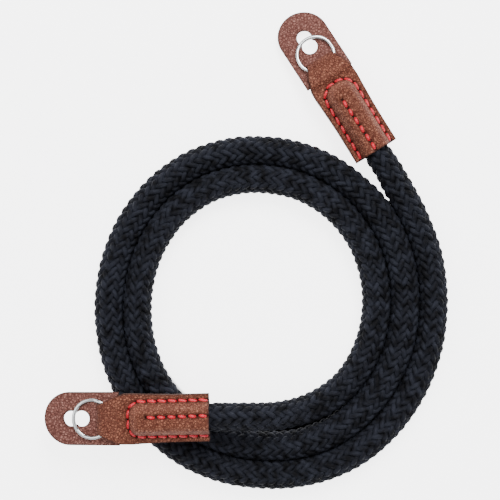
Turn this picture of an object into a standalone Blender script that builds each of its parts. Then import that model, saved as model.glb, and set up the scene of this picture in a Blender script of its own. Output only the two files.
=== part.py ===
"""A rope camera strap, lying in a flat coil with its two leather ends free.

Units are metres and +Z is up. The strap lies on the plane z = 0. Each leather end is modelled
straight along its own +X, from the mouth that the rope goes into to the tip of its pad, and its
neck then bends down a little.
"""

import math

import bmesh
import bpy
from mathutils import Vector

# Clearances
GAP = 0.0003  # between two pieces that touch on the real strap
TURN_GAP = 0.0002  # between neighbouring turns of the coil

# Rope
ROPE_DIAMETER = 0.0118
ROPE_HELD_SHARE = 0.95  # of its diameter, where the stitched leather squeezes it
ROPE_END_MARGIN = 0.0064  # from the rope's end to where the sleeve starts to narrow

# Coil
COIL_CENTRE_X = 0.01762
COIL_CENTRE_Y = -0.03315
COIL_RADIUS = 0.0701  # to the centreline of the outer turn, where the coil starts at +X
COIL_STRETCH = 0.0031  # how much more the radius is along Y
COIL_DEGREES = 765
COIL_STEP_DEGREES = 15
SETTLING_STEP_DEGREES = 30

# How far outside its true spiral the hand-laid coil lies, at each settling step of its run, as shares
# of the coil's radius, chosen by hand.
COIL_SETTLING = (
    *(0.001, 0.012, 0.020, 0.002, 0.013, 0.011, 0.009, 0.017, 0.018, 0.001, 0.001, 0.003),
    *(0.001, 0.010, 0.015, 0.000, 0.010, 0.010, 0.007, 0.014, 0.015, -0.001, -0.001, 0.001),
    *(0.001, 0.006, 0.009),
)

# Leather end
LEATHER = 0.0012
SLEEVE_LENGTH = 0.0332
FLARE_LENGTH = 0.0064  # over which the sleeve narrows to the neck
NECK_LENGTH = 0.0058
SEAM_MARGIN = 0.0012  # from the rope's tunnel to the seam beside it
FLANGE_WIDTH = 0.0026  # of the two stitched layers outside the seam
SEAM_FRONT_MARGIN = 0.0008  # from the seam that closes the sleeve to where the sleeve narrows
NECK_WIDTH = 0.0162  # where the sleeve has narrowed, before it narrows on to fit inside the ring
BEND_LENGTH = 0.0055  # of the bend that lets the neck and the pad down

# Split ring
RING_DIAMETER = 0.0164
RING_WIRE_WIDTH = 0.0012
RING_WIRE_HEIGHT = 0.0006  # of each of its two turns
RING_TURN_GAP = 0.0001
RING_RAMP_DEGREES = 40  # over which the wire steps from the lower turn to the upper one
RING_STEP_DEGREES = 10
RING_SPLIT_DEGREES = 5  # between the wire's upper end and the ramp
RING_START_DEGREES = -57  # where the wire starts, from the way to the pad's tip
RING_SET_FORWARD = 0.0039  # from the inside of the neck's fold to the ring's centre

# Pad
PAD_WIDTH = 0.0216
PAD_THICKNESS = 0.0020
PAD_TAIL_THICKNESS = 0.0012
PAD_TAIL_LENGTH = 0.0075  # behind the slot that the neck's fold goes through
PAD_FRONT_LENGTH = 0.0221  # in front of that slot
PAD_BRIDGE = 0.0031  # between the slot and the keyhole
PAD_EDGE_ROUND = 0.0004
KEYHOLE_REAR_RADIUS = 0.0032
KEYHOLE_FRONT_RADIUS = 0.0031
KEYHOLE_PITCH = 0.0044  # between the centres of its two round ends

# The uncoiled stretches, chosen by hand. Each row is a point seen from the coil's centre: its X and Y
# as shares of the coil's outer radius at end A and of its inner radius at end B, and the share of the
# climb to the mouth of that end's sleeve. The last row is the mouth.
STRETCH_A = (
    (0.977, 0.261, 0.02),
    (0.890, 0.514, 0.12),
    (0.755, 0.759, 0.7),
    (0.658, 0.908, 1.0),
)
STRETCH_B = (
    (0.438, -0.934, 0.16),
    (0.120, -1.001, 0.52),
    (-0.199, -0.995, 0.86),
    (-0.500, -0.989, 1.0),
)
HEADING_A_DEGREES = 121.8
HEADING_B_DEGREES = 181.3

# Half of the sleeve's section: the share of the way from the middle to the seam, and the share of
# the sleeve's rise there. The row of stitches down the middle leaves a hump on each side of it.
SLEEVE_PROFILE = (
    (0.00, 1.00),
    (0.20, 1.02),
    (0.42, 1.05),
    (0.62, 0.90),
    (0.80, 0.58),
    (1.00, 0.00),
)

# What follows from the sizes
TUNNEL_RADIUS = ROPE_HELD_SHARE * ROPE_DIAMETER / 2 + GAP
SLEEVE_RISE = TUNNEL_RADIUS + LEATHER
SLEEVE_HALF_HEIGHT = LEATHER + (SLEEVE_RISE - LEATHER) * max(rise for _, rise in SLEEVE_PROFILE)
SEAM_OFFSET = TUNNEL_RADIUS + SEAM_MARGIN
SLEEVE_HALF_WIDTH = SEAM_OFFSET + FLANGE_WIDTH
ROPE_INSIDE = SLEEVE_LENGTH - ROPE_END_MARGIN
SEAM_FRONT = SLEEVE_LENGTH - SEAM_FRONT_MARGIN
NOSE = SLEEVE_LENGTH + FLARE_LENGTH + NECK_LENGTH
POCKET_FRONT = NOSE - LEATHER

RING_RADIUS = RING_DIAMETER / 2
RING_INNER_RADIUS = RING_RADIUS - RING_WIRE_WIDTH
RING_HEIGHT = 2 * RING_WIRE_HEIGHT + RING_TURN_GAP
RING_CENTRE = POCKET_FRONT - 2 * GAP + RING_SET_FORWARD
NOSE_HALF_WIDTH = min(NECK_WIDTH / 2, math.sqrt(RING_INNER_RADIUS**2 - RING_SET_FORWARD**2))

# The pocket in the neck holds, from below, the pad's tail and the ring, each with its gaps.
POCKET_HALF_HEIGHT = (3 * GAP + PAD_TAIL_THICKNESS + RING_HEIGHT) / 2
NECK_HALF_HEIGHT = POCKET_HALF_HEIGHT + LEATHER
PAD_TOP = GAP + PAD_TAIL_THICKNESS - POCKET_HALF_HEIGHT
RING_BOTTOM = PAD_TOP + GAP

SLOT_REAR = POCKET_FRONT - GAP
SLOT_FRONT = NOSE + GAP
PAD_REAR = SLOT_REAR - PAD_TAIL_LENGTH
PAD_TIP = SLOT_FRONT + PAD_FRONT_LENGTH
KEYHOLE_REAR = SLOT_FRONT + PAD_BRIDGE + KEYHOLE_REAR_RADIUS
KEYHOLE_FRONT = KEYHOLE_REAR + KEYHOLE_PITCH
POCKET_REAR = min(PAD_REAR, RING_CENTRE - RING_RADIUS) - GAP

# The neck comes down until the tip of pad A touches the surface that the strap lies on.
BEND_END = POCKET_REAR - GAP
BEND_START = BEND_END - BEND_LENGTH
PAD_BOTTOM = PAD_TOP - PAD_THICKNESS
DROOP_REACH = PAD_TIP - (BEND_START + BEND_END) / 2
DROOP = math.asin(SLEEVE_HALF_HEIGHT / math.hypot(DROOP_REACH, PAD_BOTTOM)) - math.atan2(
    -PAD_BOTTOM, DROOP_REACH
)

END_A_HEIGHT = SLEEVE_HALF_HEIGHT
END_B_HEIGHT = ROPE_DIAMETER + GAP + SLEEVE_HALF_HEIGHT  # its sleeve lies on the coil


def smooth_share(value, start, end):
    """How far a value has gone from start to end, from 0 to 1 with an easy start and stop."""
    share = min(max((value - start) / (end - start), 0.0), 1.0)
    return share * share * (3 - 2 * share)


def linear_colour(hex_colour):
    """The linear colour of an sRGB hex value, with its alpha."""
    channels = [int(hex_colour[i : i + 2], 16) / 255 for i in (0, 2, 4)]
    return [c / 12.92 if c <= 0.04045 else ((c + 0.055) / 1.055) ** 2.4 for c in channels] + [1.0]


def new_material(name, hex_colour, roughness, metallic=0.0):
    """A plain material with the piece's colour and shine."""
    material = bpy.data.materials.new(name)
    material.use_nodes = True
    shader = material.node_tree.nodes["Principled BSDF"]
    shader.inputs["Base Color"].default_value = linear_colour(hex_colour)
    shader.inputs["Roughness"].default_value = roughness
    shader.inputs["Metallic"].default_value = metallic
    return material


def new_empty(name, parent, location, rotation):
    """An empty that carries the pieces placed in its frame."""
    empty = bpy.data.objects.new(name, None)
    bpy.context.scene.collection.objects.link(empty)
    empty.parent = parent
    empty.location = location
    empty.rotation_euler = rotation
    return empty


def new_object(name, mesh_or_curve, parent, material=None):
    """An object in the frame of its parent."""
    piece = bpy.data.objects.new(name, mesh_or_curve)
    bpy.context.scene.collection.objects.link(piece)
    piece.parent = parent
    if material:
        piece.data.materials.append(material)
    return piece


def mesh_from(name, bm):
    """A mesh from finished bmesh geometry, with its faces pointing out and its edges shaded."""
    bmesh.ops.recalc_face_normals(bm, faces=bm.faces)
    mesh = bpy.data.meshes.new(name)
    bm.to_mesh(mesh)
    bm.free()
    mesh.shade_smooth()
    mesh.set_sharp_from_angle(angle=math.radians(35))
    return mesh


def cut(piece, cutter):
    """Cuts the cutter's shape out of a piece, and keeps the cutter as a wire guide."""
    cutter.hide_render = True
    cutter.display_type = "WIRE"
    modifier = piece.modifiers.new(cutter.name, "BOOLEAN")
    modifier.operation = "DIFFERENCE"
    modifier.object = cutter


def box_mesh(name, low, high, round_edges=0.0, round_where=None):
    """A box between two corners, whose edges at round_where can be rounded."""
    bm = bmesh.new()
    bmesh.ops.create_cube(bm, size=1.0)
    for vert in bm.verts:
        vert.co = [(a + b) / 2 + (b - a) * c for a, b, c in zip(low, high, vert.co)]
    if round_edges:
        edges = [edge for edge in bm.edges if all(round_where(v.co) for v in edge.verts)]
        bmesh.ops.bevel(bm, geom=edges, offset=round_edges, segments=3, profile=0.5, affect="EDGES")
    return mesh_from(name, bm)


def prism_mesh(name, outline, bottom, top, edge_round=0.0):
    """A flat piece from its outline, with the edges of both faces rounded if asked."""
    bm = bmesh.new()
    face = bm.faces.new([bm.verts.new((x, y, bottom)) for x, y in outline])
    raised = bmesh.ops.extrude_face_region(bm, geom=[face])
    bmesh.ops.translate(
        bm,
        vec=(0, 0, top - bottom),
        verts=[item for item in raised["geom"] if isinstance(item, bmesh.types.BMVert)],
    )
    if edge_round:
        rims = [edge for edge in bm.edges if abs(edge.verts[0].co.z - edge.verts[1].co.z) < GAP / 10]
        bmesh.ops.bevel(bm, geom=rims, offset=edge_round, segments=2, profile=0.5, affect="EDGES")
    return mesh_from(name, bm)


def arc(centre_x, radius, start, end, steps):
    """Points of an arc round (centre_x, 0), from one angle to another in degrees, both included."""
    angles = [math.radians(start + (end - start) * i / steps) for i in range(steps + 1)]
    return [(centre_x + radius * math.cos(a), radius * math.sin(a)) for a in angles]


def coil_point(degrees):
    """A point of the coil's centreline, by how far the rope has run round, clockwise from +X."""
    angle = math.radians(degrees)
    radius = coil_radius(degrees) + COIL_RADIUS * settling(degrees)
    return Vector(
        (radius * math.cos(angle), -(radius + COIL_STRETCH) * math.sin(angle), ROPE_DIAMETER / 2)
    )


def coil_radius(degrees):
    """The coil's radius after so many degrees: each turn lies inside the one before it."""
    return COIL_RADIUS - (ROPE_DIAMETER + TURN_GAP) * degrees / 360


def settling(degrees):
    """The share by which the coil lies outside its true spiral there, on a smooth curve."""
    place = degrees / SETTLING_STEP_DEGREES
    i = min(int(place), len(COIL_SETTLING) - 2)
    t = place - i
    last = len(COIL_SETTLING) - 1
    before, start, end, after = (COIL_SETTLING[min(max(i + k, 0), last)] for k in (-1, 0, 1, 2))
    bend = 2 * before - 5 * start + 4 * end - after
    return start + t * (end - before + t * (bend + t * (3 * (start - end) + after - before))) / 2


def stretch_points(stretch, radius, mouth_height):
    """The hand-chosen points of an uncoiled stretch, from the coil's centre."""
    lying = ROPE_DIAMETER / 2
    return [
        Vector((x * radius, y * radius, lying + climb * (mouth_height - lying)))
        for x, y, climb in stretch
    ]


def between(before, start, end, after):
    """The point halfway from start to end on the smooth curve that runs through all four."""
    return (start + end) * 9 / 16 - (before + after) / 16


def rope_route():
    """The rope's points from its end A to its end B, each with its share of the full thickness."""
    turns = [coil_point(d) for d in range(0, COIL_DEGREES + 1, COIL_STEP_DEGREES)]
    route_a = stretch_points(STRETCH_A, COIL_RADIUS, END_A_HEIGHT)
    route_b = stretch_points(STRETCH_B, coil_radius(COIL_DEGREES), END_B_HEIGHT)
    stretches = []
    for near, run, heading in (
        ((turns[1], turns[0]), route_a, math.radians(HEADING_A_DEGREES)),
        ((turns[-2], turns[-1]), route_b, math.radians(HEADING_B_DEGREES)),
    ):
        ahead = Vector((math.cos(heading), math.sin(heading), 0)) * ROPE_INSIDE
        run = [*near, *run, run[-1] + ahead / 2]
        points = []
        for i in range(1, len(run) - 2):
            points.append((between(*run[i - 1 : i + 3]), 1.0))
            points.append((run[i + 1], 1.0))
        mouth = points.pop()[0]
        stretches.append(points + [(mouth + ahead * far, ROPE_HELD_SHARE) for far in (0, 0.5, 1)])
    return stretches[0][::-1] + [(point, 1.0) for point in turns] + stretches[1]


def make_rope(strap):
    """The rope, as a tube along its whole route."""
    curve = bpy.data.curves.new("rope", "CURVE")
    curve.dimensions = "3D"
    curve.bevel_depth = ROPE_DIAMETER / 2
    curve.bevel_resolution = 4
    curve.use_fill_caps = True
    curve.twist_mode = "Z_UP"
    route = rope_route()
    spline = curve.splines.new("POLY")
    spline.points.add(len(route) - 1)
    for point, (place, share) in zip(spline.points, route):
        point.co = (*place, 1.0)
        point.radius = share
    new_object("rope", curve, strap, new_material("rope_fabric", "1D2027", 0.85))


def bent(along, across, up):
    """A point of the straight leather end, carried along by the bend before its neck."""
    turned = min(max(along - BEND_START, 0.0), BEND_LENGTH)
    angle = DROOP * turned / BEND_LENGTH
    radius = BEND_LENGTH / DROOP
    past = max(along - BEND_END, 0.0)
    x = min(along, BEND_START) + radius * math.sin(angle) + past * math.cos(angle)
    z = -radius * (1 - math.cos(angle)) - past * math.sin(angle)
    return Vector((x + up * math.sin(angle), across, z + up * math.cos(angle)))


def leather_section(along):
    """The outline of the leather end across its length, as (across, up) points."""
    seam_share = SEAM_OFFSET / SLEEVE_HALF_WIDTH
    narrowed = smooth_share(along, SLEEVE_LENGTH, SLEEVE_LENGTH + FLARE_LENGTH)
    necked = smooth_share(along, SLEEVE_LENGTH + FLARE_LENGTH, POCKET_FRONT)
    closed = smooth_share(along, ROPE_INSIDE + GAP, SEAM_FRONT)
    opened = smooth_share(along, SEAM_FRONT, POCKET_REAR)
    half_width = SLEEVE_HALF_WIDTH + (NECK_WIDTH / 2 - SLEEVE_HALF_WIDTH) * narrowed
    half_width += (NOSE_HALF_WIDTH - half_width) * necked
    fold_centre = NOSE - NECK_HALF_HEIGHT
    folded = min(max(along - fold_centre, 0.0) / NECK_HALF_HEIGHT, 1.0)
    neck_up = NECK_HALF_HEIGHT * math.sqrt(1 - folded * folded)
    top = []
    for share, rise in SLEEVE_PROFILE:
        sleeve_up = LEATHER + (SLEEVE_RISE - LEATHER) * rise * (1 - closed)
        up = sleeve_up + (neck_up - LEATHER) * opened
        top.append((share * seam_share * half_width, up))
    top.append((half_width, top[-1][1]))
    left_to_right = [(-across, up) for across, up in top[:0:-1]] + top
    return left_to_right + [(across, -up) for across, up in left_to_right[::-1]]


def leather_stations():
    """Where the leather end's sections stand along it."""
    flat = [0.0, ROPE_INSIDE + GAP]
    slope = [flat[-1] + (SEAM_FRONT - flat[-1]) * share for share in (0.25, 0.5, 0.75, 1.0)]
    slope += [SEAM_FRONT + (POCKET_REAR - SEAM_FRONT) * share for share in (0.35, 0.65, 1.0)]
    flare_end = SLEEVE_LENGTH + FLARE_LENGTH
    flare = [SLEEVE_LENGTH, flare_end - FLARE_LENGTH / 4, flare_end]
    fold_centre = NOSE - NECK_HALF_HEIGHT
    fold = [fold_centre + NECK_HALF_HEIGHT * math.sin(math.radians(d)) for d in (0, 25, 45, 65, 82)]
    return sorted(flat + slope + flare + fold)


def make_leather_end(side, end, neck, material):
    """The folded leather: a sleeve with the rope's tunnel, and a neck with the ring's pocket."""
    bm = bmesh.new()
    loops = []
    for along in leather_stations():
        loops.append([bm.verts.new(bent(along, *point)) for point in leather_section(along)])
    for rear, front in zip(loops, loops[1:]):
        for i in range(len(rear)):
            bm.faces.new((rear[i - 1], rear[i], front[i], front[i - 1]))
    bm.faces.new(loops[0])
    bm.faces.new(loops[-1])
    piece = new_object(f"leather_end_{side}", mesh_from("leather_end", bm), end, material)

    bm = bmesh.new()
    sides = 20
    bmesh.ops.create_cone(
        bm,
        cap_ends=True,
        segments=sides,
        radius1=TUNNEL_RADIUS / math.cos(math.pi / sides),
        radius2=TUNNEL_RADIUS / math.cos(math.pi / sides),
        depth=2 * (ROPE_INSIDE + GAP),
    )
    tunnel = new_object(f"tunnel_cutter_{side}", mesh_from("tunnel_cutter", bm), end)
    tunnel.rotation_euler = (0, math.pi / 2, 0)
    cut(piece, tunnel)

    pocket = new_object(
        f"pocket_cutter_{side}",
        box_mesh(
            "pocket_cutter",
            (POCKET_REAR, -2 * SLEEVE_HALF_WIDTH, -POCKET_HALF_HEIGHT),
            (POCKET_FRONT, 2 * SLEEVE_HALF_WIDTH, POCKET_HALF_HEIGHT),
            round_edges=LEATHER / 2,
            round_where=lambda corner: corner.x > NOSE - 2 * LEATHER,
        ),
        neck,
    )
    cut(piece, pocket)


def make_pad(side, neck, material):
    """The tongue-shaped pad, slotted for the neck's fold and with a keyhole under the ring."""
    half_width = PAD_WIDTH / 2
    front = arc(PAD_TIP - half_width, half_width, -90, 90, 18)
    outline = [(PAD_REAR, half_width), (PAD_REAR, -half_width), *front]
    mesh = prism_mesh("ring_pad", outline, PAD_BOTTOM, PAD_TOP, edge_round=PAD_EDGE_ROUND)
    piece = new_object(f"ring_pad_{side}", mesh, neck, material)

    rear_lobe = arc(KEYHOLE_REAR, KEYHOLE_REAR_RADIUS, 50, 310, 14)
    front_lobe = arc(KEYHOLE_FRONT, KEYHOLE_FRONT_RADIUS, -125, 125, 12)
    past = PAD_THICKNESS
    keyhole = prism_mesh("keyhole_cutter", rear_lobe + front_lobe, PAD_BOTTOM - past, PAD_TOP + past)
    cut(piece, new_object(f"keyhole_cutter_{side}", keyhole, neck))

    slot_side = NOSE_HALF_WIDTH + GAP
    slot = box_mesh(
        "slot_cutter",
        (SLOT_REAR, -slot_side, PAD_BOTTOM - past),
        (SLOT_FRONT, slot_side, PAD_TOP + past),
    )
    cut(piece, new_object(f"slot_cutter_{side}", slot, neck))

    skive = box_mesh(
        "skive_cutter",
        (PAD_REAR - past, -PAD_WIDTH, PAD_BOTTOM - past),
        (SLOT_FRONT + GAP, PAD_WIDTH, PAD_TOP - PAD_TAIL_THICKNESS),
    )
    cut(piece, new_object(f"skive_cutter_{side}", skive, neck))


def make_split_ring(side, neck, material):
    """The split ring: one flat wire that runs round twice and steps up once on the way."""
    half_width = RING_WIRE_WIDTH / 2
    half_height = RING_WIRE_HEIGHT / 2
    middle = RING_RADIUS - half_width
    low = half_height - RING_HEIGHT / 2
    section = (
        (middle - half_width, low),
        (middle - half_width / 2, low + half_height),
        (middle + half_width / 2, low + half_height),
        (middle + half_width, low),
        (middle + half_width / 2, low - half_height),
        (middle - half_width / 2, low - half_height),
    )
    bm = bmesh.new()
    verts = [bm.verts.new((x, 0, z)) for x, z in section]
    front = [bm.edges.new((verts[i - 1], verts[i])) for i in range(len(verts))]
    turn = 360 - RING_RAMP_DEGREES
    climb = RING_WIRE_HEIGHT + RING_TURN_GAP
    for degrees, rise in ((turn, 0.0), (RING_RAMP_DEGREES, climb), (turn - RING_SPLIT_DEGREES, 0.0)):
        steps = math.ceil(degrees / RING_STEP_DEGREES)
        swept = bmesh.ops.spin(
            bm,
            geom=front,
            cent=(0, 0, 0),
            axis=(0, 0, 1),
            dvec=(0, 0, rise / steps),
            angle=math.radians(degrees),
            steps=steps,
            use_duplicate=False,
        )
        front = [item for item in swept["geom_last"] if isinstance(item, bmesh.types.BMEdge)]
    bmesh.ops.holes_fill(bm, edges=bm.edges, sides=len(section))
    piece = new_object(f"split_ring_{side}", mesh_from("split_ring", bm), neck, material)
    piece.location = (RING_CENTRE, 0, RING_BOTTOM + RING_HEIGHT / 2)
    piece.rotation_euler = (0, 0, math.radians(RING_START_DEGREES))


def make_end(side, strap, mouth, heading):
    """One end of the strap: its leather end, pad and split ring, in the frame of the sleeve's mouth."""
    end = new_empty(f"end_{side}", strap, mouth, (0, 0, heading))
    knee = bent(BEND_END, 0, 0)
    straight = Vector((BEND_END * math.cos(DROOP), 0, -BEND_END * math.sin(DROOP)))
    neck = new_empty(f"neck_{side}", end, knee - straight, (0, DROOP, 0))
    leather = new_material(f"sleeve_leather_{side}", "8C5842", 0.55)
    make_leather_end(side, end, neck, leather)
    make_pad(side, neck, new_material(f"pad_leather_{side}", "7D5248", 0.6))
    make_split_ring(side, neck, new_material(f"ring_steel_{side}", "C9CCD0", 0.18, metallic=1.0))


def main():
    """Builds the strap."""
    for item in list(bpy.data.objects):
        bpy.data.objects.remove(item)
    strap = new_empty("strap", None, (COIL_CENTRE_X, COIL_CENTRE_Y, 0), (0, 0, 0))
    make_rope(strap)
    mouth_a = stretch_points(STRETCH_A, COIL_RADIUS, END_A_HEIGHT)[-1]
    mouth_b = stretch_points(STRETCH_B, coil_radius(COIL_DEGREES), END_B_HEIGHT)[-1]
    make_end("a", strap, mouth_a, math.radians(HEADING_A_DEGREES))
    make_end("b", strap, mouth_b, math.radians(HEADING_B_DEGREES))


main()
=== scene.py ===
"""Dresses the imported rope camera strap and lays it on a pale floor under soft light.

The strap is a braided rope in a flat coil. Each of its ends is a folded and stitched leather strip
that holds a split ring over a keyhole pad. Units are metres and +Z is up. A leather end is modelled
straight, along its own +X from the sleeve's mouth to the pad's tip, and then carried to its place.
"""

import logging
import math
from dataclasses import dataclass, field
from enum import Enum

import bmesh
import bpy
from mathutils import Matrix, Vector
from mathutils.kdtree import KDTree


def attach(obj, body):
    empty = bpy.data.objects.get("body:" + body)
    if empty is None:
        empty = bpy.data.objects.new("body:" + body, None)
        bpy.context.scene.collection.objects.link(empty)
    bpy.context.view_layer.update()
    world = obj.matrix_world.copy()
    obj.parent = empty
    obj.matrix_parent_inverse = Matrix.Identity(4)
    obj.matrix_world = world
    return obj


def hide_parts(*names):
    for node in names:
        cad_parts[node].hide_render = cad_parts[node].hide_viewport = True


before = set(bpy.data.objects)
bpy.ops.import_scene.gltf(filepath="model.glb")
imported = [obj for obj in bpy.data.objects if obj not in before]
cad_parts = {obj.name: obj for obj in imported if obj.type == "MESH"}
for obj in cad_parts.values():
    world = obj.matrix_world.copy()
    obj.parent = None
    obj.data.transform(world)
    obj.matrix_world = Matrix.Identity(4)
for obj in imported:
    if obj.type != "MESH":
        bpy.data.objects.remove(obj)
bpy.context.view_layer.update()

log = logging.getLogger("strap")

Socket = bpy.types.NodeSocket
Tree = bpy.types.NodeTree
Material = bpy.types.Material
Line = list[tuple[Vector, float]]
Point = float | Vector

BODY = "strap"
MM = 0.001  # a millimetre, in metres
CURVE_STEPS = 24  # steps on a smooth curve between two of its given points


class Side(Enum):
    """The strap's two ends."""

    A = "a"
    B = "b"


class Hand(Enum):
    """Which way a yarn of the braid runs round the rope."""

    RIGHT = 1
    LEFT = -1


class Face(Enum):
    """The two outer faces of the folded leather strip."""

    TOP = 1
    BOTTOM = -1


def smooth_share(value: float, start: float, end: float) -> float:
    """How far a value has gone from start to end, with an easy start and stop.

    Args:
        value: The value.
        start: Where the share is 0.
        end: Where the share is 1.

    Returns:
        The share, from 0 to 1.
    """
    share = min(max((value - start) / (end - start), 0.0), 1.0)
    return share * share * (3 - 2 * share)


def bump_at(distance: float, width: float) -> float:
    """A soft bell that is 1 at no distance and has gone within about two widths."""
    return math.exp(-((distance / width) ** 2))


def curve_at(start: Point, way_in: Point, end: Point, way_out: Point, share: float) -> Point:
    """A place on a smooth curve between two points.

    Args:
        start: The first point.
        way_in: The curve's slope there, for the whole stretch.
        end: The second point.
        way_out: The curve's slope there.
        share: How much of the stretch has gone, from 0 to 1.

    Returns:
        The point there.
    """
    left = 1 - share
    return (
        start * ((1 + 2 * share) * left**2)
        + way_in * (share * left**2)
        + end * (share**2 * (3 - 2 * share))
        - way_out * (share**2 * left)
    )


def read_table(table: tuple[tuple[float, float], ...], at: float) -> float:
    """Reads a smooth curve through a table of points.

    Args:
        table: Rows of a place and the value there, by rising place.
        at: The place to read.

    Returns:
        The value there. Past either end of the table it stays level.
    """
    if at <= table[0][0]:
        return table[0][1]
    for i, (start, end) in enumerate(zip(table, table[1:])):
        if at <= end[0]:
            before, after = table[max(i - 1, 0)], table[min(i + 2, len(table) - 1)]
            width = end[0] - start[0]
            slope_in = (end[1] - before[1]) / (end[0] - before[0]) * width
            slope_out = (after[1] - start[1]) / (after[0] - start[0]) * width
            return curve_at(start[1], slope_in, end[1], slope_out, (at - start[0]) / width)
    return table[-1][1]


def smooth_line(points: list[Vector], spacing: float) -> list[Vector]:
    """Lays evenly spaced points on a smooth curve through the given points.

    Args:
        points: The points that the curve runs through.
        spacing: About how far apart the new points are.

    Returns:
        The new points, from the first given point to the last.
    """
    dense: list[Vector] = []
    for i, (start, end) in enumerate(zip(points, points[1:])):
        before, after = points[max(i - 1, 0)], points[min(i + 2, len(points) - 1)]
        span = (end - start).length
        slope_in = (end - before) * (span / ((start - before).length + span))
        slope_out = (after - start) * (span / (span + (after - end).length))
        for step in range(CURVE_STEPS):
            dense.append(curve_at(start, slope_in, end, slope_out, step / CURVE_STEPS))
    dense.append(points[-1].copy())
    gone = [0.0]
    for start, end in zip(dense, dense[1:]):
        gone.append(gone[-1] + (end - start).length)
    count = max(round(gone[-1] / spacing), 1)
    line, i = [], 0
    for step in range(count + 1):
        at = gone[-1] * step / count
        while i < len(dense) - 2 and gone[i + 1] < at:
            i += 1
        line.append(dense[i].lerp(dense[i + 1], (at - gone[i]) / (gone[i + 1] - gone[i])))
    return line


def linear(hex_colour: str) -> tuple[float, float, float, float]:
    """The linear colour of an sRGB hex value, with its alpha."""
    channels = [int(hex_colour[i : i + 2], 16) / 255 for i in (1, 3, 5)]
    red, green, blue = (
        c / 12.92 if c <= 0.04045 else ((c + 0.055) / 1.055) ** 2.4 for c in channels
    )
    return red, green, blue, 1.0


def fill_inputs(tree: Tree, node: bpy.types.Node, inputs: dict) -> None:
    """Sets a node's inputs, by name or number, to values or to other nodes' outputs."""
    for name, value in inputs.items():
        if isinstance(value, Socket):
            tree.links.new(value, node.inputs[name])
        else:
            node.inputs[name].default_value = value


def add_node(
    tree: Tree,
    kind: str,
    inputs: dict | None = None,
    stops: tuple[tuple[float, str], ...] = (),
    **settings: str,
) -> bpy.types.bpy_prop_collection:
    """Adds a node to a material.

    Args:
        tree: The material's node tree.
        kind: The node's type, without the words that start every type's name.
        inputs: Its inputs by name or number, each a value or another node's output.
        stops: The places and sRGB hex colours of a colour ramp's two ends.
        settings: Its properties.

    Returns:
        The new node's outputs.
    """
    node = tree.nodes.new(f"ShaderNode{kind}")
    for name, value in settings.items():
        setattr(node, name, value)
    fill_inputs(tree, node, inputs or {})
    if stops:
        for element, (place, colour) in zip(node.color_ramp.elements, stops):
            element.position, element.color = place, linear(colour)
    return node.outputs


def new_material(name: str) -> tuple[Material, Tree]:
    """Starts a material that has nothing but its shader."""
    material = bpy.data.materials.new(name)
    material.use_nodes = True
    return material, material.node_tree


def dress(material: Material, inputs: dict) -> Material:
    """Sets the inputs of a material's shader and gives the material back."""
    tree = material.node_tree
    fill_inputs(tree, tree.nodes["Principled BSDF"], inputs)
    return material


def twist(tree: Tree, turns: float, strands: int) -> Socket:
    """A wave that winds round a tube as its strands do, by the tube's UV map.

    Args:
        tree: The material's node tree.
        turns: How often the strands wind round the whole tube.
        strands: How many there are round the tube.

    Returns:
        The wave, from -1 to 1.
    """
    spot = add_node(tree, "SeparateXYZ", {"Vector": add_node(tree, "TexCoord")["UV"]})
    turned = add_node(tree, "Math", {0: spot["Y"], 1: math.tau * strands}, operation="MULTIPLY")
    along = {0: spot["X"], 1: math.tau * turns, 2: turned[0]}
    wound = add_node(tree, "Math", along, operation="MULTIPLY_ADD")
    return add_node(tree, "Math", {0: wound[0]}, operation="SINE")[0]


@dataclass(frozen=True)
class BraidYarn:
    """Spun polyester yarn: near black, matt and fibrous, a little colder where it has rubbed.

    Its fibres are drawn far coarser than real ones, which are too fine to show.
    """

    name: str = "spun_polyester_yarn"
    colour: str = "#0C0C0F"
    worn: str = "#22242C"
    fibres_round: int = 9
    twists: int = 330
    drifts_per_mm: float = 0.26
    fuzz_per_mm: float = 3.2

    def material(self) -> Material:
        """Twisted fibres along each yarn, and a slow drift of colour from yarn to yarn."""
        material, tree = new_material(self.name)
        place = add_node(tree, "TexCoord")["Object"]
        drifts = {"Vector": place, "Scale": self.drifts_per_mm / MM, "Detail": 2.0}
        drift = add_node(tree, "TexNoise", drifts)["Fac"]
        shades = ((0.35, self.colour), (0.68, self.worn))
        fuzzes = {"Vector": place, "Scale": self.fuzz_per_mm / MM, "Detail": 2.0}
        fuzz = add_node(tree, "TexNoise", fuzzes)["Fac"]
        fibres = {0: fuzz, 1: 1.4, 2: twist(tree, self.twists, self.fibres_round)}
        height = add_node(tree, "Math", fibres, operation="MULTIPLY_ADD")[0]
        relief = {"Height": height, "Strength": 0.5, "Distance": 0.06 * MM}
        colour = add_node(tree, "ValToRGB", {"Fac": drift}, shades)["Color"]
        bump = add_node(tree, "Bump", relief)["Normal"]
        matt = {"Roughness": 0.7, "Specular IOR Level": 0.07}
        return dress(material, {"Base Color": colour, "Normal": bump, **matt})


@dataclass(frozen=True)
class RopeCore:
    """The rope's packed core, blacker than the yarns: painted shade for the gaps of the braid."""

    name: str = "packed_fibre_core"
    # near black, darker than the yarns: painted shade in the braid's gaps
    colour: str = "#020203"
    lighter: str = "#050507"
    fibres_per_mm: float = 1.5

    def material(self) -> Material:
        """Dull black with a little fibre in it."""
        material, tree = new_material(self.name)
        place = add_node(tree, "TexCoord")["Object"]
        fibres = {"Vector": place, "Scale": self.fibres_per_mm / MM, "Detail": 2.0}
        fibre = add_node(tree, "TexNoise", fibres)["Fac"]
        shades = ((0.4, self.colour), (0.7, self.lighter))
        colour = add_node(tree, "ValToRGB", {"Fac": fibre}, shades)["Color"]
        return dress(material, {"Base Color": colour, "Roughness": 0.95, "Specular IOR Level": 0.1})


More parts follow.
